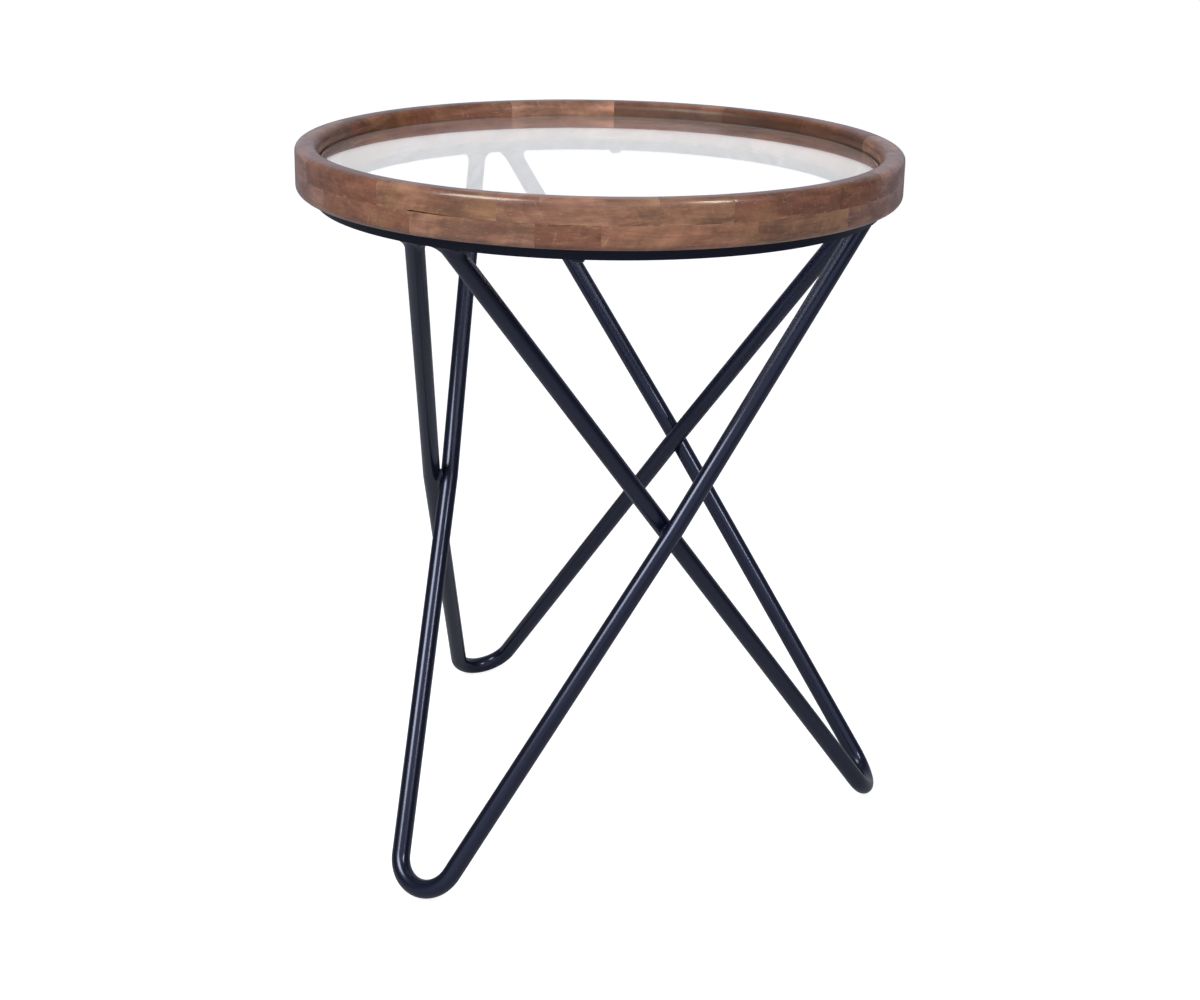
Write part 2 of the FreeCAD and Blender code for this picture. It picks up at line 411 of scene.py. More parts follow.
# %% Points of a leg
crossing_gap = 0.2 * mm
near_floor, near_hoop = 1 * mm, 0.05 * mm
sixth_turn = np.pi / 3
hoop_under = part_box("top_hoop")[0].z
welded = corners_of("crossing_welds")
left_weld = welded[welded[:, 0] < welded[:, 0].mean() - rim_radius / 4]
crossing = (left_weld.min(0) + left_weld.max(0)) / 2


def polar(radius, turn, height):
    """Point at a radius, an angle and a height."""
    return np.array([radius * np.cos(turn), radius * np.sin(turn), height])


def leg_points(leg):
    """Foot, kinks and ends of a leg's middle line, and the rod's radius. The first arm passes outside."""
    corners = corners_of(leg)
    from_axis = np.hypot(corners[:, 0], corners[:, 1])
    turn = np.arctan2(*corners[corners[:, 2] < near_floor].mean(0)[1::-1])
    ends = corners[corners[:, 2] > hoop_under - near_hoop]
    beside = np.sin(np.arctan2(ends[:, 1], ends[:, 0]) - turn)
    tops = [(end.min(0) + end.max(0)) / 2 for end in (ends[beside > 0], ends[beside < 0])]
    rod = np.linalg.norm(ends[beside > 0] - tops[0], axis=1).min()
    foot = polar(from_axis.max() - rod, turn, rod)
    apart = rod + crossing_gap / 2
    kinks = [polar(np.hypot(*crossing[:2]) + way * apart, turn + way * sixth_turn, crossing[2])
             for way in (1, -1)]
    return foot, kinks, tops, rod


leg_names = sorted(name for name in nodes if name.startswith("leg"))
legs = {name: leg_points(name) for name in leg_names}
for name, (foot, _, _, rod) in legs.items():
    print("%s: rod %.1f mm, foot %.1f mm out" % (name, 2 * rod / mm, np.hypot(*foot[:2]) / mm))

# %% [markdown]
# ## The middle line of a leg
#
# A bent rod is straight lines joined by arcs that touch them. At the foot, the circle of the bend is given,
# and each arm is the line from its kink that touches this circle. At a kink, the two lines are given, and
# the arc is the circle of the bending radius that touches both: its middle lies on the line that halves
# their angle.

# %% Middle lines
foot_bend, kink_bend = 27.5 * mm, 80 * mm
ring_step = 12 * mm
kink_rings, heel_rings = 9, 33


def unit(arrow):
    """The same arrow, or arrows, one long."""
    return arrow / np.linalg.norm(arrow, axis=-1, keepdims=True)


def turn_between(centre, start, end, steps):
    """Points on an arc about a centre: arrow a to the start turned towards the end, a cos t + b sin t."""
    a = start - centre
    cosine = unit(a) @ unit(end - centre)
    b = (end - centre - a * cosine) / np.sqrt(1 - cosine ** 2)
    t = np.linspace(0, np.arccos(cosine), steps)[:, None]
    return centre + a * np.cos(t) + b * np.sin(t)


def straight(start, end):
    """Points on a line, both ends included, about one ring step apart."""
    return np.linspace(start, end, int(np.linalg.norm(end - start) / ring_step) + 2)


def leg_path(foot, kinks, tops):
    """Middle line of a leg, and the arrow square to its plane. Both lower arms touch the circle of the foot's
    bend, which stands on the foot; a kink is an arc that touches the lower and the upper part of its arm."""
    plane = unit(np.cross(kinks[0] - foot, kinks[1] - foot))
    centre = foot + foot_bend * unit(np.array([0, 0, 1]) - plane * plane[2])
    arms = []
    for kink, top, way in zip(kinks, tops, (-1, 1)):
        toward = unit(kink - centre)
        share = foot_bend / np.linalg.norm(kink - centre)
        aside = way * np.sqrt(1 - share ** 2) * np.cross(plane, toward)
        touch = centre + foot_bend * (share * toward + aside)
        rise, fall = unit(top - kink), unit(touch - kink)
        half = np.arccos(rise @ fall) / 2
        reach = kink_bend / np.tan(half)
        middle = kink + unit(rise + fall) * kink_bend / np.sin(half)
        bent = turn_between(middle, kink + rise * reach, kink + fall * reach, kink_rings)
        arms.append(np.concatenate([straight(top, bent[0])[:-1], bent, straight(bent[-1], touch)[1:]]))
    heel = turn_between(centre, arms[0][-1], arms[1][-1], heel_rings)
    return np.concatenate([arms[0], heel[1:-1], arms[1][::-1]]), plane


paths = {name: leg_path(foot, kinks, tops) for name, (foot, kinks, tops, _) in legs.items()}
for name, (line, _) in paths.items():
    print("%s: middle line %.0f mm long" % (name, np.linalg.norm(np.diff(line, axis=0), axis=1).sum() / mm))

# %% [markdown]
# ## Rods
#
# A circle is carried along each middle line. It has to stand square to the line everywhere and must not
# twist on the way. The leg lies nearly in a plane, so the arrow square to that plane serves as one axis of
# every circle.

# %% Rods
rod_sides = 48


def bent_rod(name, line, plane, rod):
    """Rings at line + rod (cos a first + sin a second). The first axis is the plane's arrow made square to
    the line, the second is square to both. The end rings are slid along their arms to the hoop."""
    along = unit(np.gradient(line, axis=0))
    first = unit(plane - (along @ plane)[:, None] * along)
    second = np.cross(first, along)
    a = np.linspace(0, 2 * np.pi, rod_sides, endpoint=False)[:, None]
    rings = line[:, None] + rod * (np.cos(a) * first[:, None] + np.sin(a) * second[:, None])
    for end in (0, -1):
        rings[end] += along[end] * ((hoop_under - rings[end, :, 2:]) / along[end, 2])
    piece = add_piece(name + ".rod", rings, tube_faces(*rings.shape[:2]), "frame")
    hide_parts(name)
    return piece


rods = [bent_rod(name, *paths[name], legs[name][-1]) for name in leg_names]
print("legs:", len(rods), "rods,", sum(len(piece.data.polygons) for piece in rods), "faces")

# %% [markdown]
# ## The welds under the hoop
#
# Each arm ends flush under the hoop, and a bead of weld runs round it. It shows against the white room as a
# small flare, so it needs a shape. Its section is a hollow curve from the hoop to the rod, carried once
# round the rod. Where the hoop is too narrow for it, the bead is smaller. A torch moves on in small steps,
# so the bead swells and shrinks a little.

# %% Weld beads
from_middle = np.hypot(*corners_of("top_hoop")[:, :2].T)
hoop_inner, hoop_outer = from_middle.min(), from_middle.max()
bead_reach, bead_height = 10 * mm, 11 * mm
bead_step, bead_swell = 2.5 * mm, 0.2 * mm
bead_margin = 0.3 * mm
least_climb = 0.3
bead_sides, bead_points, hoop_samples = 96, 11, 60


def weld_bead(top, kink, rod):
    """Bead round the end of an arm. At each angle, rod and hoop meet in a corner. The section is the curve
    (1 - s)^2 hoop point + 2 s (1 - s) corner + s^2 rod point for s from 0 to 1, plus a swell of 4 s (1 - s),
    closed by the corner."""
    lean = unit(kink - top)
    a = np.linspace(0, 2 * np.pi, bead_sides, endpoint=False)[:, None]
    across = unit(np.cross(lean, [0, 0, 1]))
    ring = rod * (np.cos(a) * across + np.sin(a) * np.cross(across, lean))
    corner = top + ring - lean * ring[:, 2:] / lean[2]
    away = unit(ring * [1, 1, 0])
    spots = corner[:, None] + away[:, None] * np.linspace(0, bead_reach, hoop_samples)[:, None]
    radius = np.hypot(spots[..., 0], spots[..., 1])
    on_hoop = (radius < hoop_outer - bead_margin) & (radius > hoop_inner + bead_margin)
    share = on_hoop.mean(1)[:, None]
    hoop_point = corner + away * bead_reach * share
    rod_point = corner + lean * bead_height * (least_climb + (1 - least_climb) * share)
    s = np.linspace(0, 1, bead_points)[:, None]
    curve = (1 - s) ** 2 * hoop_point[:, None] + 2 * s * (1 - s) * corner[:, None]
    curve += s ** 2 * rod_point[:, None]
    swell = bead_swell * share * np.cos(np.round(2 * np.pi * rod / bead_step) * a)
    curve += 4 * s * (1 - s) * swell[:, None] * (away - [0, 0, 1])[:, None]
    return np.concatenate([corner[:, None], curve[:, ::-1]], 1)


beads = [weld_bead(top, kink, rod) for _, kinks, tops, rod in legs.values() for top, kink in zip(tops, kinks)]
rows, columns = beads[0].shape[:2]
bead_faces = np.array(grid_faces(rows, columns, loop=True))
bead_faces = np.concatenate([bead_faces + rows * columns * i for i in range(len(beads))]).tolist()
welds = add_piece("hoop_welds.beads", np.concatenate(beads), bead_faces, "frame")
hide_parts("hoop_welds")
print("welds:", len(beads), "beads,", len(bead_faces), "faces")

# %% [markdown]
# ## Reading the screws
#
# Four pan head screws come up through the hoop and hold the rim. Their places and shanks are read off the
# frame. The heads are drawn a little larger.

# %% Sizes of the screws
corners = corners_of("rim_screws")
around = np.arctan2(corners[:, 1], corners[:, 0])
which = np.round((around - around[0]) / (np.pi / 2)) % 4
centres = [(corners[which == i, :2].min(0) + corners[which == i, :2].max(0)) / 2 for i in range(4)]
from_axis = np.linalg.norm(corners[which == 0, :2] - centres[0], axis=1)
head_wider, head_taller, well_above = 0.8 * mm, 1.0 * mm, 0.1 * mm
head_radius = from_axis.max() + head_wider
shank_radius = from_axis[corners[which == 0, 2] > hoop_under + well_above].max()
head_low, point_high = corners[:, 2].min() - head_taller, corners[:, 2].max()
print("screws: %d, heads %.1f mm across, shanks %.1f mm" % (
    len(centres), 2 * head_radius / mm, 2 * shank_radius / mm))

# %% [markdown]
# ## The screws
#
# Only the heads show, from below, but a screw without a thread would be a nail, so the whole screw is
# drawn. It is a turned shape too, from its point down to its head, with two departures. The thread is a
# wave in the radius that moves on by one pitch with each turn. The cross in the head is a dent in the last
# rings, deepest where either of its two slots is.

# %% Screws
thread_pitch, thread_depth = 1.8 * mm, 0.45 * mm
point_length, point_blunt = 4 * mm, 0.15
crown_round, head_bevel, middle_left = 1.5 * mm, 0.2 * mm, 0.1 * mm
slot_half, slot_reach, slot_depth = 0.5 * mm, 2.4 * mm, 1.4 * mm
body_rings, disc_rings, screw_sides = 110, 18, 64


def cross_slot(x, y):
    """1 inside a slot's half width and reach, along either axis, and 0 outside, over half a slot."""
    near_x, far_x, near_y, far_y = [
        np.clip((limit - np.abs(v)) / (slot_half / 2) + 0.5, 0, 1)
        for v in (x, y) for limit in (slot_half, slot_reach)]
    return np.maximum(near_x * far_y, near_y * far_x)


def pan_head_screw(centre, turn):
    """Rings of a screw from the point down, and the two points that close it. Radius = profile less a cosine
    thread in (turn - height / pitch); height = profile plus the depth of the cross."""
    body = np.linspace(point_high, hoop_under, body_rings)
    taper = np.minimum(1, point_blunt + (point_high - body) / point_length)
    crown = arc((head_radius - crown_round, head_low + crown_round), crown_round, 0, -90, steps=8)
    disc = np.linspace(head_radius - crown_round, middle_left, disc_rings)[1:]
    rim = [head_radius - head_bevel, head_radius]
    plain = np.zeros(len(rim) + len(crown))
    radius = np.concatenate([shank_radius * taper, rim, crown[:, 0], disc])
    height = np.concatenate([body, [hoop_under, hoop_under - head_bevel], crown[:, 1], 0 * disc + head_low])
    threaded = np.concatenate([taper * (body > hoop_under + thread_pitch), plain, 0 * disc])
    dented = np.concatenate([0 * body, plain, 0 * disc + 1])
    a = np.linspace(0, 2 * np.pi, screw_sides, endpoint=False)
    wave = 0.5 - 0.5 * np.cos(a - 2 * np.pi * height[:, None] / thread_pitch)
    r = radius[:, None] - thread_depth * threaded[:, None] * wave
    x, y = r * np.cos(a), r * np.sin(a)
    z = height[:, None] + slot_depth * dented[:, None] * cross_slot(x, y)
    c, s = np.cos(turn), np.sin(turn)
    rings = np.stack([centre[0] + c * x - s * y, centre[1] + s * x + c * y, z], -1)
    ends = [[*centre, point_high], [*centre, head_low + slot_depth]]
    return rings.shape[:2], np.concatenate([rings.reshape(-1, 3), ends])


screw_points, screw_faces = [], []
for centre in centres:
    grid, points = pan_head_screw(centre, chance.uniform(0, np.pi))
    before = len(points) * len(screw_points)
    screw_faces += [[before + corner for corner in face] for face in capped_faces(*grid)]
    screw_points.append(points)
points = np.concatenate(screw_points)
screws = add_piece("rim_screws.threaded", points, screw_faces, "frame")
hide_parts("rim_screws")
print("screws:", len(screw_points), "with thread and cross,", len(screw_faces), "faces")

# %% [markdown]
# ## Finish: stained hardwood
#
# The real blocks are a pale, fine-pored hardwood such as acacia or rubberwood. They were stained brown, and
# each board took the stain in its own way, so the rim is a patchwork of browns. Over it lies a satin
# lacquer.
#
# The pattern is drawn from noise, which never repeats. Each layer of noise is stretched along the grain to
# a size in millimetres that can be measured on wood:
#
# - clouds, some 15 mm high and 40 mm long, are where the stain soaked in unevenly;
# - growth bands, 5 mm wide and 60 mm long, are the dark and light lines of a sawn board;
# - fibres, under 1 mm wide, are the fine streaks inside the bands;
# - ripples stand across the grain and lean a little, where the fibres of the tree ran in waves.

# %% Grain
bands = {"width": 5, "length": 60, "Detail": 3.0, "Distortion": 0.9}
fibres = {"width": 0.9, "length": 26, "Detail": 4.0, "Roughness": 0.6}
ripples = {"width": 16, "length": 4, "tilt": 24, "Detail": 1.0, "Distortion": 0.4}
clouds = {"width": 15, "length": 40, "Detail": 3.0, "Roughness": 0.55}
fibre_share, ripple_share, cloud_share = 0.26, 0.22, 0.55


def new_material(name):
    """An empty material, and the node tree that its shader goes into."""
    material = bpy.data.materials.new(name)
    material.use_nodes = True
    material.node_tree.nodes.clear()
    return material, material.node_tree


def grain(tree, board, width, length, tilt=0, **settings):
    """Noise drawn out along a board. Its spots are so many millimetres wide and long, and lean by a tilt in
    degrees."""
    place = add_node(tree, "Mapping", {
        "Vector": board, "Scale": (width * mm, length * mm, width * mm),
        "Rotation": (np.radians(tilt), 0, 0)}, vector_type="TEXTURE")
    noise = add_node(tree, "TexNoise", {"Vector": place.outputs[0], "Scale": 1.0, **settings})
    return noise.outputs["Fac"]


def figure(tree, board):
    """Height of the wood's figure about 0.5, and its fibres alone: bands, with the other layers mixed in turn
    by their shares."""
    value = grain(tree, board, **bands)
    fibre = grain(tree, board, **fibres)
    layers = [(fibre, fibre_share), (grain(tree, board, **ripples), ripple_share),
              (grain(tree, board, **clouds), cloud_share)]
    for layer, share in layers:
        mix = add_node(tree, "Mix", {"Factor": share, "A": value, "B": layer}, data_type="FLOAT")
        value = mix.outputs[0]
    return value, fibre


print("grain: bands %g mm wide, fibres %g mm wide" % (bands["width"], fibres["width"]))

# %% [markdown]
# ## Stains and wear
#
# Three browns from dark to light follow the figure. Patches of the board are golden, others are redder,
# because its heartwood and sapwood drink the stain differently. Pale flecks and dark pores are both short
# dashes along the grain. Real pores are 0.2 mm wide; here they are three times as wide, so that they show.
# Here and there a pale ray of the tree stands across the grain. Beside the glue line, chips have let the
# bare wood out.
#
# Each of these is a second colour, laid over the first where some noise passes from one value to another.

# %% Stains over stains
golden, heart_red = "#9C7550", "#744838"
# The dark brown of the pores also paints the shade inside the rim.
bare_wood, pale_fleck, pore_and_shade_brown = "#B08A66", "#B4906E", "#3E281C"
stain_spots = {
    "patches": {"width": 20, "length": 36, "Detail": 2.0},
    "dashes": {"width": 0.7, "length": 6, "Detail": 1.0},
    "rays": {"width": 9, "length": 2.2, "tilt": 20, "Detail": 2.0},
}
# Pattern, colour, the values where it starts and is full, and the largest share of it.
over_stains = [
    ("patches", golden, 0.53, 0.68, 0.34),
    ("patches", heart_red, 0.46, 0.34, 0.45),
    ("dashes", pale_fleck, 0.63, 0.76, 0.48),
    ("dashes", pore_and_shade_brown, 0.35, 0.25, 0.35),
    ("rays", pale_fleck, 0.64, 0.80, 0.50),
]
chips = {"width": 4, "length": 14, "Detail": 3.0, "Roughness": 0.65}
chip_reach, chip_full = 2.2 * mm, 0.2 * mm
chip_start, chip_end, chip_most = 0.53, 0.64, 0.75
chip_by_crack = 0.12


def laid_over(tree, colour, over, value, start=0, full=1, most=1):
    """A second colour over the first: none where a value is at the start, the share most where it is full."""
    share = add_node(tree, "MapRange", {
        "Value": value, "From Min": start, "From Max": full, "To Max": most})
    mix = add_node(tree, "Mix", {
        "Factor": share.outputs[0], "A": colour, "B": over}, data_type="RGBA")
    return mix.outputs[2]


def chipped(tree, board):
    """Share of bare wood: chips of noise, more of them along the crack, that fade away from the glue line."""
    to_seam = add_node(tree, "Attribute", attribute_name="to_seam").outputs["Fac"]
    cracked = add_node(tree, "Attribute", attribute_name="cracked").outputs["Fac"]
    near = add_node(tree, "MapRange", {
        "Value": to_seam, "From Min": chip_reach, "From Max": chip_full})
    loose = add_node(tree, "Math", {
        0: cracked, 1: chip_by_crack, 2: grain(tree, board, **chips)}, operation="MULTIPLY_ADD")
    bare = add_node(tree, "MapRange", {
        "Value": loose.outputs[0], "From Min": chip_start, "From Max": chip_end, "To Max": chip_most})
    share = add_node(tree, "Math", {0: bare.outputs[0], 1: near.outputs[0]}, operation="MULTIPLY")
    return share.outputs[0]


print("stains: %d over the figure, bare wood up to %.1f mm from the glue line" % (
    len(over_stains), chip_reach / mm))

# %% [markdown]
# ## The wood, put together
#
# The figure picks one of three browns, the other stains lie over it, and the inside of the rim is made
# darker, partly stain and partly painted shade. The lacquer is a clear coat over all this, and there is
# little of it on the inside. The wood's fine fibres make its shine satin and give it a very low bump.

# %% Wood finish
tone_places = (0.41, 0.50, 0.59)
coat_outside, coat_inside = 0.75, 0.08
coat_fades, coat_ends = 0.3, 0.9
stains = {
    "wood_umber": ("#653F2D", "#7E513B", "#926048"),
    "wood_tan": ("#785441", "#966A53", "#B08064"),
    "wood_russet": ("#78503C", "#95654D", "#AF795C"),
    "wood_grey": ("#704D40", "#8E6452", "#A87A64"),
    "wood_dark": ("#5C3621", "#73452C", "#885336"),
    "wood_honey": ("#6E4C38", "#8B6249", "#A57759"),
}


def stained_hardwood(name, tones):
    """Stained and lacquered hardwood. The eye gets soft clouds, streaks along the block and a satin shine."""
    material, tree = new_material(name)
    board = add_node(tree, "Attribute", attribute_name="board").outputs["Vector"]
    value, fibre = figure(tree, board)
    ramp = add_node(tree, "ValToRGB", {"Fac": value})
    stops = ramp.color_ramp.elements
    stops.new(0.5)
    for stop, position, tone in zip(stops, tone_places, tones):
        stop.position = position
        stop.color = (*linear(tone), 1)

    colour = ramp.outputs["Color"]
    noise = {label: grain(tree, board, **spots) for label, spots in stain_spots.items()}
    for label, over, start, full, most in over_stains:
        colour = laid_over(tree, colour, over, noise[label], start, full, most)
    colour = laid_over(tree, colour, bare_wood, chipped(tree, board))
    # Darker inside the rim and on the ledge under the glass: partly stain, partly painted shade.
    stain_and_shade = add_node(tree, "Attribute", attribute_name="stain_and_shade").outputs["Fac"]
    colour = laid_over(tree, colour, pore_and_shade_brown, stain_and_shade)

    inside = add_node(tree, "Attribute", attribute_name="inside").outputs["Fac"]
    lacquer = add_node(tree, "MapRange", {
        "Value": inside, "From Min": coat_fades, "From Max": coat_ends,
        "To Min": coat_outside, "To Max": coat_inside})
    rough = add_node(tree, "MapRange", {"Value": fibre, "To Min": 0.34, "To Max": 0.50})
    bump = add_node(tree, "Bump", {"Height": fibre, "Strength": 0.12, "Distance": 0.2 * mm})
    shader = add_node(tree, "BsdfPrincipled", {
        "Base Color": colour, "Roughness": rough.outputs[0], "Normal": bump.outputs[0],
        "Specular IOR Level": 0.3, "Coat Weight": lacquer.outputs[0], "Coat Roughness": 0.15})
    add_node(tree, "OutputMaterial", {"Surface": shader.outputs[0]})
    return material


hardwood = {slot: stained_hardwood("stained_" + slot, tones) for slot, tones in stains.items()}
for name, piece in wood_pieces.items():
    piece.data.materials.append(hardwood[slot_of[name]])
print("wood:", len(hardwood), "stains on", len(wood_pieces), "blocks")

# %% [markdown]
# ## Finish: black powder coat
#
# The hoop, the rods and the welds are mild steel under a blue-black powder coat. Powder is sprayed on dry
# and melted in an oven, and it never flows out quite flat: it keeps a fine "orange peel". The eye gets a
# black tube with narrow, slightly trembling highlights. The coat is a plastic, so it isn't metallic. Its
# peel is a low bump, about 1 mm across on real work and 3 mm here, so that it shows. Its colour and
# roughness change a little over larger patches.
#
# The hoop has a darker and duller copy of the coat, which is painted shade, as the rim shades it. The welds
# get a version with the ripples that a hand-held torch leaves about every 2 mm under the paint. The screws
# are blackened.

# %% Powder coat
dusty_black, cold_shine = "#0E1122", "#DDE3FF"
patch_size, uneven = 45 * mm, 0.03


def powder_coat(name, colour, roughness, relief, spot, shine=0.72):
    """Powder coat on steel: near black and satin, with peel or ripples of a given relief, so many millimetres
    apart. Its roughness changes a little from patch to patch."""
    material, tree = new_material(name)
    place = add_node(tree, "TexCoord").outputs["Object"]
    peel = add_node(tree, "TexNoise", {"Vector": place, "Scale": 1 / (spot * mm), "Detail": 1.0})
    patch = add_node(tree, "TexNoise", {"Vector": place, "Scale": 1 / patch_size, "Detail": 3.0})
    share = patch.outputs["Fac"]
    tint = add_node(tree, "Mix", {"Factor": share, "A": colour, "B": dusty_black}, data_type="RGBA")
    rough = add_node(tree, "MapRange", {
        "Value": share, "To Min": roughness - uneven, "To Max": roughness + uneven})
    bump = add_node(tree, "Bump", {
        "Height": peel.outputs["Fac"], "Strength": relief, "Distance": 0.2 * mm})
    shader = add_node(tree, "BsdfPrincipled", {
        "Base Color": tint.outputs[2], "Roughness": rough.outputs[0], "Normal": bump.outputs[0],
        "Specular IOR Level": shine, "Specular Tint": cold_shine})
    add_node(tree, "OutputMaterial", {"Surface": shader.outputs[0]})
    return material


rod_coat = powder_coat("powder_coated_rod", "#06091A", 0.21, 0.003, 3.0)
# Darker and less shiny than the rods: painted shade, where the rim shades the hoop.
shaded_hoop_coat = powder_coat("powder_coated_hoop_shaded", "#040612", 0.30, 0.003, 3.0, shine=0.45)
weld_coat = powder_coat("powder_coated_weld", "#06091A", 0.24, 0.20, 2.0)
screw_coat = powder_coat("blackened_screw", "#08090E", 0.26, 0.05, 0.8)
coats = [(piece, rod_coat) for piece in rods]
coats += [(welds, weld_coat), (screws, screw_coat)]
coats += [(nodes["top_hoop"], shaded_hoop_coat), (nodes["crossing_welds"], weld_coat)]
for piece, coat in coats:
    piece.data.materials.clear()
    piece.data.materials.append(coat)
print("steel: coat on", len(coats), "pieces")

# %% [markdown]
# ## Finish: clear glass
#
# Float glass sets on a bath of molten tin, so both faces are as flat as the metal. It bends light with an
# index of about 1.5 and mirrors very little when seen straight on, but a lot at a low angle: the white room
# behind the table lies in it like a veil. A Principled shader with full transmission does all of that.
#
# Only the dust has to be added. It is a thin, even haze, with small flecks and faint wipe marks that turn a
# little more of the glass into a white film.

# %% Glass finish
flecks = {"width": 3, "length": 6, "Detail": 4.0, "Roughness": 0.75}
wipes = {"width": 9, "length": 60, "Detail": 4.0, "Roughness": 0.6}
dust_marks = [(flecks, 0.60, 0.74, 0.32), (wipes, 0.40, 0.70, 0.14)]
dust_starts, dust_full = 25 * mm, 60 * mm
haze = 0.035
# The ground edge is dark grey: partly its frosted finish, partly painted shade in the gap beside the rim.
ground_film_and_shade = 0.8


def float_glass(name):
    """Clear float glass under dust: a haze, plus the stronger of flecks and wipe marks, lowers its
    transmission. The marks fade out towards the rim. The ground edge is dark grey: partly its frosted finish,
    partly painted shade in the gap beside the rim."""
    material, tree = new_material(name)
    place = add_node(tree, "TexCoord").outputs["Object"]
    edge = add_node(tree, "Attribute", attribute_name="edge").outputs["Fac"]
    to_rim = add_node(tree, "Attribute", attribute_name="to_rim").outputs["Fac"]
    marks = 0.0
    for spots, start, full, most in dust_marks:
        spot = add_node(tree, "MapRange", {
            "Value": grain(tree, place, **spots), "From Min": start, "From Max": full, "To Max": most})
        marks = add_node(tree, "Math", {0: marks, 1: spot.outputs[0]}, operation="MAXIMUM").outputs[0]
    away = add_node(tree, "MapRange", {
        "Value": to_rim, "From Min": dust_starts, "From Max": dust_full}).outputs[0]
    dust = add_node(tree, "Math", {0: marks, 1: away, 2: haze}, operation="MULTIPLY_ADD").outputs[0]
    # Partly painted shade: the edge turns to a grey film.
    ground_and_shade = add_node(tree, "Math", {0: edge, 1: ground_film_and_shade}, operation="MULTIPLY").outputs[0]
    film = add_node(tree, "Math", {0: dust, 1: ground_and_shade}, operation="MAXIMUM").outputs[0]
    clear = add_node(tree, "Math", {0: 1.0, 1: film}, operation="SUBTRACT").outputs[0]
    # The grey of the edge is partly painted shade.
    tint = add_node(tree, "Mix", {"Factor": edge, "A": "#FAFBFE", "B": "#565B58"}, data_type="RGBA")
    shader = add_node(tree, "BsdfPrincipled", {
        "Base Color": tint.outputs[2], "Roughness": 0.0, "IOR": 1.5, "Transmission Weight": clear})
    add_node(tree, "OutputMaterial", {"Surface": shader.outputs[0]})
    return material


glass.data.materials.append(float_glass("float_glass"))
print("glass: clear, with a haze of %.1f per cent and %d kinds of marks" % (100 * haze, len(dust_marks)))

# %% [markdown]
# ## Studio: a dim room with a white backdrop
#
# The photograph is a studio picture on white paper, so bright that it runs into plain white. Real paper
# that bright would also light the table from all sides and wash out its blacks. The Light Path node
# prevents that: the paper is white where the camera sees it, directly, through the glass or mirrored in it
# (those rays are called singular), and all other rays meet a dim room.
#
# The room is a little brighter in front, where the photographer's white wall is, and behind, where the
# paper hangs. It is faintly blue, like daylight from a window, which gives the black rods their cold tone.

# %% Room
room_low, room_high = 0.10, 0.24
# Each wall: where along Y it starts, where it is full, and how bright it is.
walls = {"front": (-0.1, -0.85, 0.6), "back": (0.3, 0.9, 0.35)}
paper_white, paper_dim = 1.08, 0.4
paper_fades, paper_ends = 0.25, 0.7
scene = bpy.context.scene
scene.view_settings.view_transform = "Standard"
world = bpy.data.worlds.new("studio")
scene.world = world
world.use_nodes = True
tree = world.node_tree
tree.nodes.clear()


def seen_by_camera(tree):
    """1 for rays from the camera, also when a clear surface has passed or mirrored them, else 0."""
    path = add_node(tree, "LightPath").outputs
    seen = add_node(tree, "Math", {
        0: path["Is Camera Ray"], 1: path["Is Singular Ray"]}, operation="MAXIMUM")
    return seen.outputs[0]


sky = add_node(tree, "TexCoord").outputs["Generated"]
compass = add_node(tree, "SeparateXYZ", {"Vector": sky}).outputs
room = add_node(tree, "MapRange", {
    "Value": compass["Z"], "To Min": room_low, "To Max": room_high}).outputs[0]
for start, end, strength in walls.values():
    wall = add_node(tree, "MapRange", {
        "Value": compass["Y"], "From Min": start, "From Max": end, "To Max": strength},
        interpolation_type="SMOOTHSTEP")
    room = add_node(tree, "Math", {0: room, 1: wall.outputs[0]}, operation="ADD").outputs[0]
paper = add_node(tree, "MapRange", {
    "Value": compass["Z"], "From Min": paper_fades, "From Max": paper_ends,
    "To Min": paper_white, "To Max": paper_dim})
dim = add_node(tree, "Background", {"Color": "#E6ECFF", "Strength": room})
bright = add_node(tree, "Background", {"Color": "#FFFFFF", "Strength": paper.outputs[0]})
both = add_node(tree, "MixShader", {
    0: seen_by_camera(tree), 1: dim.outputs[0], 2: bright.outputs[0]})
add_node(tree, "OutputWorld", {"Surface": both.outputs[0]})
print("room: a dim sky,", len(walls), "brighter walls and a white backdrop")

# %% [markdown]
# ## Studio: the floor
#
# The floor is a disc so wide that its edge lies close to the horizon. It is a pale matt grey, which throws
# a little light up at the table, and it glows white for the camera only, as the backdrop does.

# %% Floor
floor_radius, floor_sides = 30.0, 64
floor_glow = 0.85
ring = np.linspace(0, 2 * np.pi, floor_sides, endpoint=False)
points = np.stack([floor_radius * np.cos(ring), floor_radius * np.sin(ring), 0 * ring], 1)
mesh = bpy.data.meshes.new("floor")
mesh.from_pydata(points.tolist(), [], [list(range(floor_sides))])
floor = bpy.data.objects.new("floor", mesh)
scene.collection.objects.link(floor)
material, tree = new_material("pale_floor")
glow = add_node(tree, "Math", {0: seen_by_camera(tree), 1: floor_glow}, operation="MULTIPLY")
shader = add_node(tree, "BsdfPrincipled", {
    "Base Color": "#BEBEBE", "Roughness": 0.7, "Specular IOR Level": 0.1, "Emission Color": "#FFFFFF",
    "Emission Strength": glow.outputs[0]})
add_node(tree, "OutputMaterial", {"Surface": shader.outputs[0]})
mesh.materials.append(material)
print("floor: %.0f m across" % (2 * floor_radius))

# %% [markdown]
# ## Studio: two softboxes
#
# Round rods tell where the lamps stood, because each one mirrors a lamp along a line only where camera and
# lamp lean equally to its two sides. Two upright softboxes, on either side of the camera and a little above
# it, fit the highlights. The left one is wider, as the broad sheen on the rim's left shoulder shows.
#
# Light that reaches a rod through clear glass would be found by chance only, as bright dots. So the glass
# throws no shadow, and rays that the glass has bent don't see the lamps a second time.

# %% Softboxes
lamp_target = Vector((0, 0, 0.45))


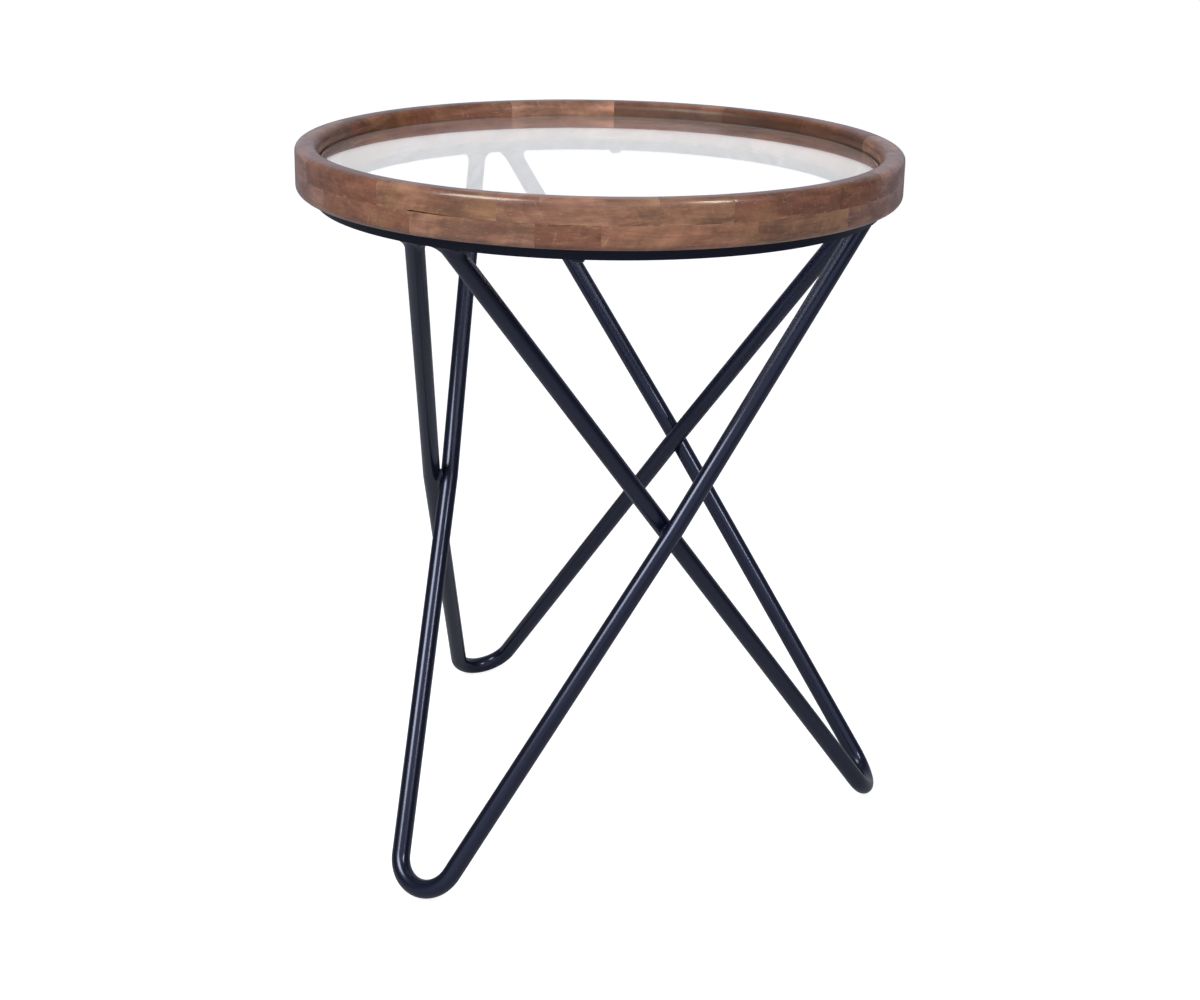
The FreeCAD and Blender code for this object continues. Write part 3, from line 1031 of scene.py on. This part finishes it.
def softbox(name, bearing, height, distance, size, radiance):
    """Upright area light, (width, height) in metres, that looks at the table. Its bearing counts from the
    front, left is negative. Its power in watts is radiance times pi times area."""
    a, e = np.radians([bearing, height])
    light = bpy.data.lights.new(name, "AREA")
    light.shape = "RECTANGLE"
    light.size, light.size_y = size
    light.energy = radiance * np.pi * size[0] * size[1]
    lamp = bpy.data.objects.new(name, light)
    toward = Vector((np.sin(a) * np.cos(e), -np.cos(a) * np.cos(e), np.sin(e)))
    lamp.location = lamp_target + toward * distance
    lamp.rotation_euler = toward.to_track_quat("Z", "Y").to_euler()
    lamp.visible_transmission = False
    scene.collection.objects.link(lamp)
    return lamp


glass.visible_shadow = False
boxes = [
    softbox("left_box", -43, 38, distance=2.2, size=(0.85, 1.0), radiance=11),
    softbox("right_box", 48, 39, distance=2.2, size=(0.30, 0.9), radiance=17),
]
for lamp in boxes:
    print("%s: %.1f W at %s m" % (lamp.name, lamp.data.energy, np.round(lamp.location, 2)))

# %% [markdown]
# ## The camera
#
# The camera was found by fitting: the model was laid over the edges in the photograph until distance,
# height, tilt and focal length agreed. The focal length is given in pixels of the picture, which is 1200 by
# 1000. The picture was cropped a little low, so its optical middle is row 430 and the lens is shifted by
# the rest.

# %% Camera
picture_width, picture_height = 1200, 1000
focal_pixels, middle_row = 1965.6, 430.0
sensor_width = 36
camera_distance, camera_height = 1602.9 * mm, 838.3 * mm
pitch, roll, yaw, turn = np.radians([17.600, 1.095, 0.154, 3.055])
ahead = np.array([np.sin(yaw) * np.cos(pitch), np.cos(yaw) * np.cos(pitch), -np.sin(pitch)])
right = np.array([np.cos(yaw), -np.sin(yaw), 0])
above = np.cross(right, ahead)
rolled_right = right * np.cos(roll) + above * np.sin(roll)
rolled_above = above * np.cos(roll) - right * np.sin(roll)
place = np.eye(4)
place[:3, :3] = np.stack([rolled_right, rolled_above, -ahead], 1)
place[:3, 3] = (0, -camera_distance, camera_height)
camera_data = bpy.data.cameras.new("camera")
camera_data.sensor_width = sensor_width
camera_data.lens = sensor_width * focal_pixels / picture_width
camera_data.shift_y = (middle_row - picture_height / 2) / picture_width
camera = bpy.data.objects.new("camera", camera_data)
scene.collection.objects.link(camera)
camera.matrix_world = Matrix.Rotation(turn, 4, "Z") @ Matrix(place.tolist())
scene.camera = camera
print("camera: %.1f mm lens, %.2f m from the axis, %.2f m high" % (
    camera_data.lens, camera_distance, camera_height))
